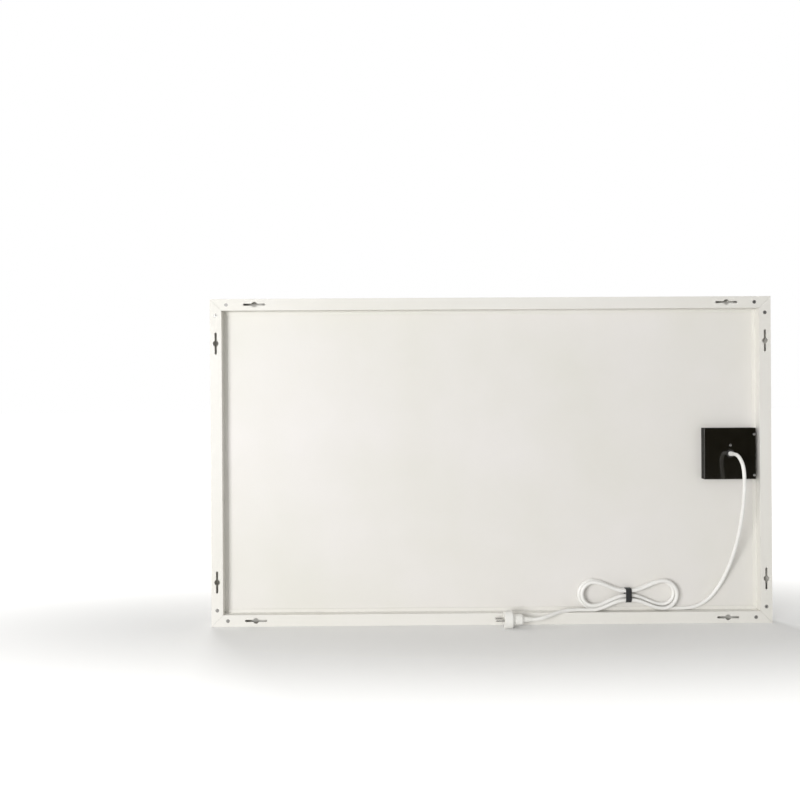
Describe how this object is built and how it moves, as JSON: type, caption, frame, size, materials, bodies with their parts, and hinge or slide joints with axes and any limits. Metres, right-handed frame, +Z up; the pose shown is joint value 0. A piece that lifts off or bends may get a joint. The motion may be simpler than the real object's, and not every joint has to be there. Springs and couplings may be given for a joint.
{
  "type": "infrared panel heater",
  "caption": "Slim white radiant panel in a mitred frame; open tray back with black junction box, tied mains lead and keyhole slots along the rear flange.",
  "frame": {"origin": "middle of the panel's footprint on the floor, the panel standing on its lower long edge", "axes": "+X along the panel's width, to the right as seen from the warm front; +Y out of the open back; +Z up"},
  "size_m": [1.2, 0.091, 0.7],
  "materials": {
    "white_powder_coat": "satin",
    "white_enamel": "satin",
    "carbon_film": "matte",
    "copper": "satin",
    "aluminium_foil": "polished",
    "mineral_wool": "matte",
    "zinc_plate": "satin",
    "black_abs": "gloss",
    "black_rubber": "matte",
    "ceramic": "matte",
    "brass": "satin",
    "nickel_plate": "polished",
    "brown_wire": "satin",
    "blue_wire": "satin",
    "green_wire": "satin",
    "white_pvc": "satin",
    "white_plug": "satin"
  },
  "bodies": {
    "root": {"frame_rail_bottom": "white_powder_coat", "frame_rail_top": "white_powder_coat", "frame_rail_left": "white_powder_coat", "frame_rail_right": "white_powder_coat", "corner_key_bottom_left": "zinc_plate", "corner_key_bottom_right": "zinc_plate", "corner_key_top_right": "zinc_plate", "corner_key_top_left": "zinc_plate", "corner_screw_bottom_left_1": "zinc_plate", "corner_screw_bottom_left_2": "zinc_plate", "corner_screw_bottom_right_1": "zinc_plate", "corner_screw_bottom_right_2": "zinc_plate", "corner_screw_top_right_1": "zinc_plate", "corner_screw_top_right_2": "zinc_plate", "corner_screw_top_left_1": "zinc_plate", "corner_screw_top_left_2": "zinc_plate", "radiant_plate": "white_enamel", "heating_element": "carbon_film", "bus_bar_bottom": "copper", "bus_bar_top": "copper", "reflective_foil": "aluminium_foil", "insulation_board": "mineral_wool", "back_plate": "white_enamel", "junction_box_base": "black_abs", "junction_box_lid": "black_abs", "lid_screw_upper": "zinc_plate", "lid_screw_lower": "zinc_plate", "clamp_screw": "zinc_plate", "cord_clamp": "black_rubber", "lid_grommet": "black_rubber", "strain_relief": "white_pvc", "terminal_block": "ceramic", "thermal_cutout": "nickel_plate", "earth_stud": "brass", "earth_nut": "brass", "core_live": "brown_wire", "core_neutral": "blue_wire", "core_earth": "green_wire", "live_lead_lower": "brown_wire", "live_lead_upper": "brown_wire", "neutral_lead": "blue_wire", "cord_lead": "white_pvc", "cord_hank": "white_pvc", "cord_tail": "white_pvc", "hank_tie": "black_rubber", "plug_body": "white_plug", "plug_pin_front": "nickel_plate", "plug_pin_rear": "nickel_plate", "plug_earth_contact_lower": "nickel_plate", "plug_earth_contact_upper": "nickel_plate"}
  },
  "joints": []
}
